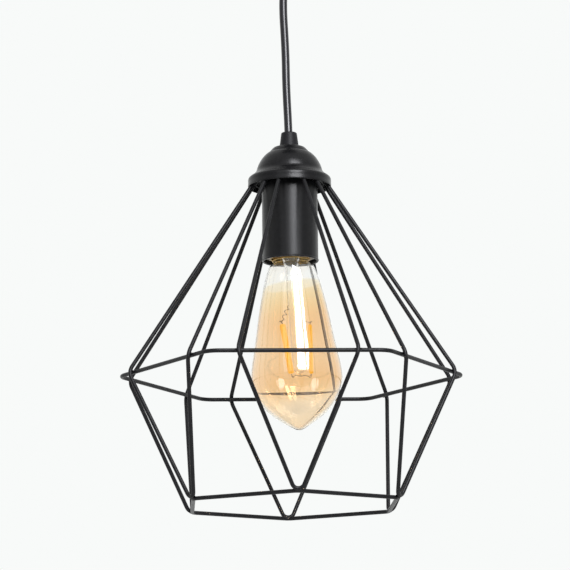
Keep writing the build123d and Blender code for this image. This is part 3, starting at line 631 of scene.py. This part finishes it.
def cord_route():
    """The cord's line as the photograph shows it: it leans to the left towards the ceiling."""
    curve = bpy.data.curves.new("cord_route", "CURVE")
    curve.dimensions = "3D"
    points = [
        (0, 0, -0.2117), (0, 0, -0.1760), (-0.0017, 0, -0.1380), (-0.0018, 0, -0.1120),
        (-0.0038, 0, -0.0720), (0, 0, -0.0520), (0, 0, -0.0285),
    ]
    spline = curve.splines.new("NURBS")
    spline.points.add(len(points) - 1)
    for place, point in zip(spline.points, points):
        place.co = (*point, 1)
    spline.order_u = 3
    spline.use_endpoint_u = True
    spline.resolution_u = 12
    holder = bpy.data.objects.new("cord_route", curve)
    scene.collection.objects.link(holder)
    path = [v.co.copy() for v in evaluated_mesh(holder).vertices]
    bpy.data.objects.remove(holder)
    return path


route = cord_route()
cord = new_piece("cord_sheath", round_tube("cord_sheath", route, CORD_RADIUS, sides=24), CORD_PVC,
                 None)
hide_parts("cord")
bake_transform(cord)


# Cap: a lip round the gland, a low raised crown, the dome, a deep cove and the straight rim

RIM_EDGE_Z = RIM_Z - 0.0006


def below_top(*points):
    """(radius, height) points from radii and drops below the dome's top."""
    return [(radius, DOME_TOP_Z - drop) for radius, drop in points]


def cap_profile():
    """The cap's outer skin from the nipple's hole out and down to the rim."""
    lip = below_top((NIPPLE_HOLE_RADIUS, 0.0001), (0.0068, 0.0001), (0.0068, -0.0007))
    lip += arc((0.0073, DOME_TOP_Z + 0.0005), 0.0004, 120, 0, 6)
    lip += below_top((0.0078, -0.0001), (0.0083, 0.00008))
    crown = smooth_line(below_top(
        (0.0095, 0.0001), (0.0110, 0.0004), (0.0124, 0.0017), (0.0134, 0.0028), (0.01375, 0.0034),
    ), (1, 0), (0.3, -1), 26)
    dome = smooth_line(below_top(
        (0.01405, 0.0038), (0.0156, 0.0046), (0.0172, 0.0060), (0.0186, 0.0075), (0.0197, 0.0090),
        (0.0206, 0.0105), (0.02135, 0.0119), (0.0220, 0.0133), (0.0225, 0.0147), (0.0229, 0.0161),
    ), (1, -0.35), (0.22, -1), 60)
    cove = smooth_line(below_top(
        (0.0229, 0.0161), (0.02345, 0.0176), (0.0247, 0.0192), (0.0264, 0.0206), (0.0278, 0.0215),
    ), (0.22, -1), (1, -0.75), 26)
    rim = smooth_line(below_top(
        (0.0278, 0.0215), (0.0288, 0.0226), (0.02908, 0.0237), (0.02905, 0.0255),
    ) + [(0.02915, RIM_Z), (0.0290, RIM_EDGE_Z)], (1, -0.75), (-0.6, -1), 30)
    return np.array(lip + list(crown) + list(dome[:-1]) + list(cove[:-1]) + list(rim))


def cap_hollow(skin):
    """The cap's inner skin: straight inside the rim, and plain under the lip."""
    hollow = inner_skin(skin, CAP_WALL)
    hollow[0, 0] = NIPPLE_HOLE_RADIUS
    hollow[hollow[:, 1] < RIM_Z + 0.0015, 0] = 0.0287
    hollow[-1] = 0.0288, RIM_EDGE_Z
    return np.delete(hollow, slice(1, 11), axis=0)


cap_skin = cap_profile()
cap_outline = np.concatenate([cap_skin, cap_hollow(cap_skin)[::-1]])
spun_cap = new_piece("spun_cap", lathe("spun_cap", cap_outline, 128), SPUN, "pendant")
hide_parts("dome_cap")


# Bulb

def glass_profile():
    """Outline of the envelope from its neck inside the cap to its pointed foot."""
    glass_length, belly_share = 0.1191, 0.305
    belly_z = GLASS_TIP_Z + belly_share * glass_length
    shoulder_z = GLASS_TOP_Z - 0.0048
    span = shoulder_z - belly_z
    drop = belly_z - GLASS_TIP_Z
    neck = np.array([(GLASS_NECK_RADIUS, GLASS_TOP_Z + 0.012), (GLASS_NECK_RADIUS, GLASS_TOP_Z + 0.006)])
    bridge = smooth_line([(GLASS_NECK_RADIUS, GLASS_TOP_Z - 0.0006), (0.505 * BELLY_RADIUS, shoulder_z)],
                         (0, -1), (0.42, -1), 8)
    taper = smooth_line([
        (r * BELLY_RADIUS, shoulder_z - share * span) for r, share in
        ((0.505, 0), (0.637, 0.172), (0.787, 0.459), (0.908, 0.744), (1, 1))
    ], (0.42, -1), (0, -1), 60)
    foot = smooth_line([
        (r * BELLY_RADIUS, belly_z - share * drop) for r, share in
        ((1, 0), (0.945, 0.22), (0.825, 0.45), (0.64, 0.65), (0.385, 0.82), (0.17, 0.94), (0, 1))
    ], (0, -1), (-1, 0), 60)
    return np.concatenate([neck, bridge[:-1], taper[:-1], foot])


glass_skin = glass_profile()
glass_inside = inner_skin(glass_skin, GLASS_WALL, growth=0.055, below=GLASS_TIP_Z + 0.0275)
glass_inside[-1] = 0, glass_inside[-2, 1]
envelope = new_piece("bulb_envelope",
                     lathe("bulb_envelope", np.concatenate([glass_skin, glass_inside[::-1]]), 144),
                     AMBER, "bulb", LEANED)
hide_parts("bulb_glass")

cap_thread = threaded_tube("bulb_cap_thread", crest=0.0130, root=0.0122, wall=0.0004,
                           low=GLASS_TOP_Z, high=BULB_CAP_TOP_Z, pitch=SCREW_PITCH)
cap_crown = lathe("bulb_cap_crown", [
    (0.0130, BULB_CAP_TOP_Z), (0.0126, BULB_CAP_TOP_Z + 0.0004), (0.0086, BULB_CAP_TOP_Z + 0.0015),
    (0.00815, BULB_CAP_TOP_Z + 0.0015), (0.0122, BULB_CAP_TOP_Z), (0.0126, BULB_CAP_TOP_Z - 0.0001)], 72)
gold_cap = new_piece("gold_screw_cap", joined("gold_screw_cap", [cap_thread, cap_crown]), GOLD,
                     "bulb", LEANED)
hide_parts("bulb_cap")


# Threads that only show when the bulb is out or the lamp is taken apart

shell_thread = threaded_tube("screw_shell_thread", crest=0.0140, root=0.01364, wall=0.0004,
                             low=SHELL_FOOT_Z, high=SHELL_TOP_Z, pitch=SCREW_PITCH)
shell_flange = lathe("screw_shell_flange", [
    (0.0140, SHELL_TOP_Z), (0.0101, SHELL_TOP_Z), (0.0100, SHELL_TOP_Z - 0.0002),
    (0.0101, SHELL_TOP_Z - 0.0004), (0.0136, SHELL_TOP_Z - 0.0004), (0.0139, SHELL_TOP_Z - 0.0001)], 72)
shell = new_piece("holder_screw_shell", joined("holder_screw_shell", [shell_thread, shell_flange]),
                  BRASS, "pendant")
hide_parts("screw_shell")

nipple_mesh = threaded_tube("threaded_nipple", crest=0.0050, root=0.0046, wall=0, low=NIPPLE_FOOT_Z,
                            high=NIPPLE_TOP_Z, pitch=NIPPLE_PITCH, bore=0.0039, steps=48, rows_per_turn=10)
rod = new_piece("threaded_nipple", nipple_mesh, ZINC, "pendant")
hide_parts("nipple")


# Inside the bulb: two filaments of glowing chips on strips, their leads and a yoke

def on_axis(z):
    """A point on the lamp's axis."""
    return Vector((0, 0, z))


def filament_ends(side):
    """Foot and top of the filament on one side of the stem."""
    turn = radians(25.0)
    out = Vector((side * cos(turn), side * sin(turn), 0))
    foot = out * 0.0078 + Vector((0.0008, 0, FILAMENT_FOOT_Z))
    top = out * 0.0108 + on_axis(FILAMENT_TOP_Z)
    return foot, top


def strip(name, foot, top, half_width, half_depth, facing):
    """A flat strip with rounded edges and ends from foot to top; facing turns its flat side."""
    along = (top - foot).normalized()
    across = Matrix.Rotation(facing, 3, along) @ Vector((1, 0, 0))
    across = (across - along * across.dot(along)).normalized()
    deep = along.cross(across)
    length = (top - foot).length
    sides, rounding, edge = 24, 0.0012, 0.7
    stations = [0.0, 0.0002, 0.0006, rounding] + list(np.linspace(0.003, length - 0.003, 12))
    stations += [length - rounding, length - 0.0006, length - 0.0002, length]
    rows = [[foot] * sides]
    for place in stations:
        end = min(place, length - place)
        size = min(1.0, 0.45 + 0.55 * sqrt(min(1.0, end / rounding)))
        row = []
        for k in range(sides):
            a = 2 * pi * k / sides
            u = abs(cos(a)) ** edge * (1 if cos(a) > 0 else -1)
            v = abs(sin(a)) ** edge * (1 if sin(a) > 0 else -1)
            row.append(foot + along * place + (across * u * half_width + deep * v * half_depth) * size)
        rows.append(row)
    rows.append([top] * sides)
    return grid_mesh(name, rows), across, deep


def small_pad(name, half_width, half_length, height):
    """A small raised pad with sloped sides, flat on its underside."""
    corners = ((1, 0.7), (0.7, 1), (-0.7, 1), (-1, 0.7), (-1, -0.7), (-0.7, -1), (0.7, -1), (1, -0.7))
    steps = ((0.01, -0.5), (1.0, -0.5), (1.0, 0.3), (0.85, 0.8), (0.6, 1.0), (0.01, 1.0))
    return grid_mesh(name, [
        [(x * half_width * size, y * half_length * size, rise * height) for x, y in corners]
        for size, rise in steps])


def chip_rows(foot, top, across, deep, half_depth):
    """A row of chips down each flat side of a strip."""
    along = (top - foot).normalized()
    inset = along * 0.0028
    chips_in_a_row = 21
    rows = []
    for face in (-1, 1):
        off = deep * face * half_depth
        line = bpy.data.meshes.new("chip_line")
        line.from_pydata([foot + inset + off, top - inset + off], [(0, 1)], [])
        basis = Matrix((across, along, across.cross(along))).transposed()
        if basis.col[2].dot(off) < 0:
            basis = Matrix((-across, along, (-across).cross(along))).transposed()
        rows.append(grown("filament_chips", line, chip_tree, chip_sockets, Item=chip_item,
                          Count=chips_in_a_row, Turn=basis.to_euler()[:], Material=CHIP))
    return rows


def lead(points, radius):
    """One thin wire."""
    return round_tube("lead", points, radius, sides=8)


def coiled_lead(start, goal, out):
    """The slack lead from the stem's side to the left filament, in loose turns."""
    run = goal - start
    u = run.normalized().orthogonal().normalized()
    v = run.normalized().cross(u)
    coils, count, coil_radius = 3.2, 40, 0.00125
    path = [start - out * 0.0004]
    for i in range(count + 1):
        t = i / count
        swell = coil_radius * sin(pi * t) ** 0.6
        a = 2 * pi * coils * t
        path.append(start + run * t + (u * cos(a) + v * sin(a)) * swell)
    path.append(goal)
    return lead(path, 0.00032)


def straight_lead(top, along, out):
    """The lead from the stem's side to the right filament."""
    return lead(curved([
        out * 0.0046 + on_axis(FILAMENT_TOP_Z + 0.0030), out * 0.0062 + on_axis(FILAMENT_TOP_Z + 0.0031),
        out * 0.0080 + on_axis(FILAMENT_TOP_Z + 0.0022), top + along * 0.0014]), 0.0003)


def top_hook(top, along, out):
    """The bent tail at a filament's top."""
    return lead(curved([
        top + along * 0.0001, top + along * 0.0012 + out * 0.0003, top + along * 0.0021 + out * 0.0011,
        top + along * 0.0016 + out * 0.0018], 6), 0.00036)


def foot_hook(foot, along, out):
    """The bent tail at a filament's foot."""
    low = foot - along * 0.0013
    return lead(curved([
        foot + along * 0.0002, low, low - along * 0.0010 - out * 0.0004,
        low - along * 0.0012 - out * 0.0014, low - along * 0.0002 - out * 0.0018], 6), 0.00036)


def yoke():
    """The wire under the stem that joins both feet, and its short post."""
    foot_a, foot_b = (filament_ends(side)[0] for side in (-1, 1))
    sag = on_axis(STEM_FOOT_Z - 0.0017)

    def beside(foot, share, lift):
        """A point of the yoke towards one foot."""
        return Vector((foot.x * share, foot.y * share, sag.z + lift))

    bar = [
        foot_a - on_axis(0.0010), beside(foot_a, 0.75, -0.0003), beside(foot_a, 0.45, 0.0004),
        beside(foot_a, 0.2, 0), sag, beside(foot_b, 0.2, 0), beside(foot_b, 0.45, 0.0004),
        beside(foot_b, 0.75, -0.0003), foot_b - on_axis(0.0010),
    ]
    post = [sag, sag + on_axis(0.0009), on_axis(STEM_FOOT_Z)]
    return [lead(curved(bar), 0.0003), lead(curved(post, 4), 0.00026)]


chip_tree, chip_sockets = chip_nodes()
chip_item = item_object(small_pad("filament_chip", half_width=0.00050, half_length=0.00034, height=0.00018))
strips, chips, leads = [], [], []
for side, facing, half_width in ((-1, radians(8), 0.00205), (1, radians(60), 0.00190)):
    half_depth = 0.00125
    foot, top = filament_ends(side)
    form, across, deep = strip("filament_strip", foot, top, half_width, half_depth, facing)
    strips.append(form)
    chips += chip_rows(foot, top, across, deep, half_depth)
    along = (top - foot).normalized()
    out = Vector((top.x, top.y, 0)).normalized()
    if side < 0:
        stem_side = out * 0.0048 + on_axis(FILAMENT_TOP_Z + 0.0130)
        leads.append(coiled_lead(stem_side, top + along * 0.0012, out))
    else:
        leads.append(straight_lead(top, along, out))
    leads.append(top_hook(top, along, out))
    leads.append(foot_hook(foot, along, out))
leads += yoke()
bpy.data.objects.remove(chip_item)

filament_strips = new_piece("filament_strips", joined("filament_strips", strips), PHOSPHOR,
                            "bulb", STEM_LEANED)
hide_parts("filaments")
new_piece("filament_chips", joined("filament_chips", chips), CHIP, "bulb", STEM_LEANED)
bulb_leads = new_piece("bulb_leads", joined("bulb_leads", leads), LEAD, "bulb", STEM_LEANED)
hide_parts("support_wires")


# Welds of the cage: where each wire meets the belt, the foot ring and the collar

def weld_bead(name, half_length, half_width, height):
    """One short weld seam with its ripples, long in Y."""
    stations, sides, ripples = 26, 14, 6
    rows = []
    for i in range(stations + 1):
        t = i / stations
        swell = max(0.02, sqrt(max(0.0, 1 - (2 * t - 1) ** 2))) * (1 + 0.09 * cos(2 * pi * ripples * t))
        rows.append([(half_width * swell * cos(a), (2 * t - 1) * half_length, height * swell * sin(a))
                     for a in (2 * pi * k / sides for k in range(sides))])
    return grid_mesh(name, rows)


def weld_places():
    """Point and axes (along the seam, outwards) of every seam, kite by kite."""
    apothem = BELT_RADIUS * cos(radians(30))
    contact, seam_offset, belt_seam_y = 0.00285, 0.00078, 0.0398
    collar_seam_radius, collar_seam_angle, collar_seam_z = 0.02448, radians(18.33), -0.2071
    up, flat = Vector((0, 0, 1)), Vector((0, 1, 0))
    down_slope = Vector((0.0013, 0, -0.002536)).normalized()
    places = []
    for i in range(6):
        turn = Matrix.Rotation(radians(30 + 60 * i), 3, "Z")
        for side in (-1, 1):
            for rise in (-1, 1):
                belt = Vector((apothem + contact / 2, side * belt_seam_y, BELT_Z + rise * seam_offset))
                places.append((turn @ belt, turn @ flat, turn @ (up * rise)))
                angle = side * collar_seam_angle
                radial = Vector((cos(angle), sin(angle), 0))
                aside = Vector((-sin(angle), cos(angle), 0)) * rise
                collar = radial * collar_seam_radius + aside * 0.0009 + up * collar_seam_z
                places.append((turn @ collar, up, turn @ aside))
        for rise in (-1, 1):
            foot = Vector((FOOT_RADIUS - 0.00127, 0, BELT_Z - FOOT_DROP - 0.00065))
            foot += down_slope * rise * seam_offset
            places.append((turn @ foot, turn @ flat, turn @ (down_slope * rise)))
    return places


bead_item = item_object(weld_bead("weld_bead", half_length=0.0024, half_width=0.00085, height=0.00062))
seams = weld_places()
bead_points = bpy.data.meshes.new("weld_points")
bead_points.from_pydata([place for place, _, _ in seams], [], [])
bead_turns = bead_points.attributes.new("turn", "FLOAT_VECTOR", "POINT")
for item, (_, along, outwards) in zip(bead_turns.data, seams):
    item.vector = Matrix((along.cross(outwards), along, outwards)).transposed().to_euler()[:]
bead_tree, bead_sockets = bead_nodes()
bead_mesh = grown("weld_beads", bead_points, bead_tree, bead_sockets, Item=bead_item,
                  Smallest=0.85, Largest=1.15, Seed=7, Material=WIRE)
new_piece("weld_beads", bead_mesh, WIRE, "pendant")
bpy.data.objects.remove(bead_item)


# Studio: world, lights and floor

def light_world():
    """Even light on surfaces; the backdrop shows to the eye, through glass and in gloss from behind."""
    world = bpy.data.worlds.new("studio")
    scene.world = world
    world.use_nodes = True
    tree = world.node_tree
    path = tree.nodes.new("ShaderNodeLightPath")
    sky = tree.nodes.new("ShaderNodeTexCoord")
    split = tree.nodes.new("ShaderNodeSeparateXYZ")
    tree.links.new(sky.outputs["Generated"], split.inputs["Vector"])
    behind = spread(tree, split.outputs["Y"], 0.10, 1.0, source=(-0.35, 0.45))
    overhead = spread(tree, split.outputs["Z"], 1.0, 0.30, source=(0.35, 0.75))
    behind = combined(tree, "MULTIPLY", behind, overhead)
    above = spread(tree, split.outputs["Z"], 0.10, 0.62, source=(-0.6, 0.9))
    seen = combined(tree, "MAXIMUM", path.outputs["Is Camera Ray"], path.outputs["Is Transmission Ray"])
    in_gloss = combined(tree, "MULTIPLY", path.outputs["Is Glossy Ray"], behind)
    seen = combined(tree, "MAXIMUM", seen, in_gloss)
    mix = tree.nodes.new("ShaderNodeMixShader")
    even = tree.nodes["Background"]
    even.inputs["Color"].default_value = (1, 1, 1, 1)
    tree.links.new(above, even.inputs["Strength"])
    backdrop = tree.nodes.new("ShaderNodeBackground")
    backdrop.inputs["Color"].default_value = (0.939, 0.956, 0.947, 1)
    tree.links.new(seen, mix.inputs["Fac"])
    tree.links.new(even.outputs[0], mix.inputs[1])
    tree.links.new(backdrop.outputs[0], mix.inputs[2])
    tree.links.new(mix.outputs[0], tree.nodes["World Output"].inputs["Surface"])


def soft_light(name, azimuth, elevation, distance, width, height, brightness,
               shape="RECTANGLE", shift=0.0, roll=0.0):
    """A softbox turned to the bulb from the given side, then moved sideways and rolled in its own plane.

    Azimuth runs from the camera's side towards +X. Angles are in degrees, lengths in metres.
    """
    target = Vector((0, 0, BELT_Z + 0.03))
    a, e = radians(azimuth), radians(elevation)
    away = Vector((sin(a) * cos(e), -cos(a) * cos(e), sin(e)))
    aside = Vector((cos(a), sin(a), 0))
    data = bpy.data.lights.new(name, "AREA")
    data.shape = shape
    data.size = width
    data.size_y = height
    area = width * height * (pi / 4 if shape == "ELLIPSE" else 1)
    data.energy = brightness * pi * area
    data.color = (0.95, 0.96, 1.0)
    light = bpy.data.objects.new(name, data)
    place = Matrix.Translation(target + away * distance + aside * shift)
    facing = away.to_track_quat("Z", "Y").to_matrix().to_4x4()
    light.matrix_world = place @ facing @ Matrix.Rotation(radians(roll), 4, "Z")
    light.visible_camera = False
    scene.collection.objects.link(light)


def add_floor():
    """A plain pale floor far below the hanging lamp, out of the photograph's view."""
    half = 1.8
    mesh = bpy.data.meshes.new("floor")
    mesh.from_pydata([(x * half, y * half, FLOOR_Z) for x, y in ((-1, -1), (1, -1), (1, 1), (-1, 1))],
                     [], [(0, 1, 2, 3)])
    material, _, shader = new_material("pale_floor", Roughness=0.9, Specular_IOR_Level=0.1)
    shader.inputs["Base Color"].default_value = (0.88, 0.885, 0.88, 1)
    mesh.materials.append(material)
    floor = bpy.data.objects.new("floor", mesh)
    scene.collection.objects.link(floor)


light_world()

# Azimuth, elevation, distance, width, height and brightness of each light
soft_light("tall_softbox", 0.0, 35.0, 1.8, 0.97, 1.26, 10.5, shift=0.500, roll=-2.5)
soft_light("tall_softbox_round_end", 0.0, 15.5, 1.85, 0.99, 0.36, 7.5, shape="ELLIPSE", shift=0.475)
soft_light("wide_fill", 3.0, 26.0, 2.2, 3.4, 1.5, 0.65)
soft_light("left_round_light", -48.0, -27.0, 1.8, 0.66, 0.52, 3.2, shape="ELLIPSE")
soft_light("right_round_light", 49.4, -27.0, 1.8, 0.62, 0.60, 2.4, shape="ELLIPSE")
add_floor()
scene.view_settings.view_transform = "Standard"
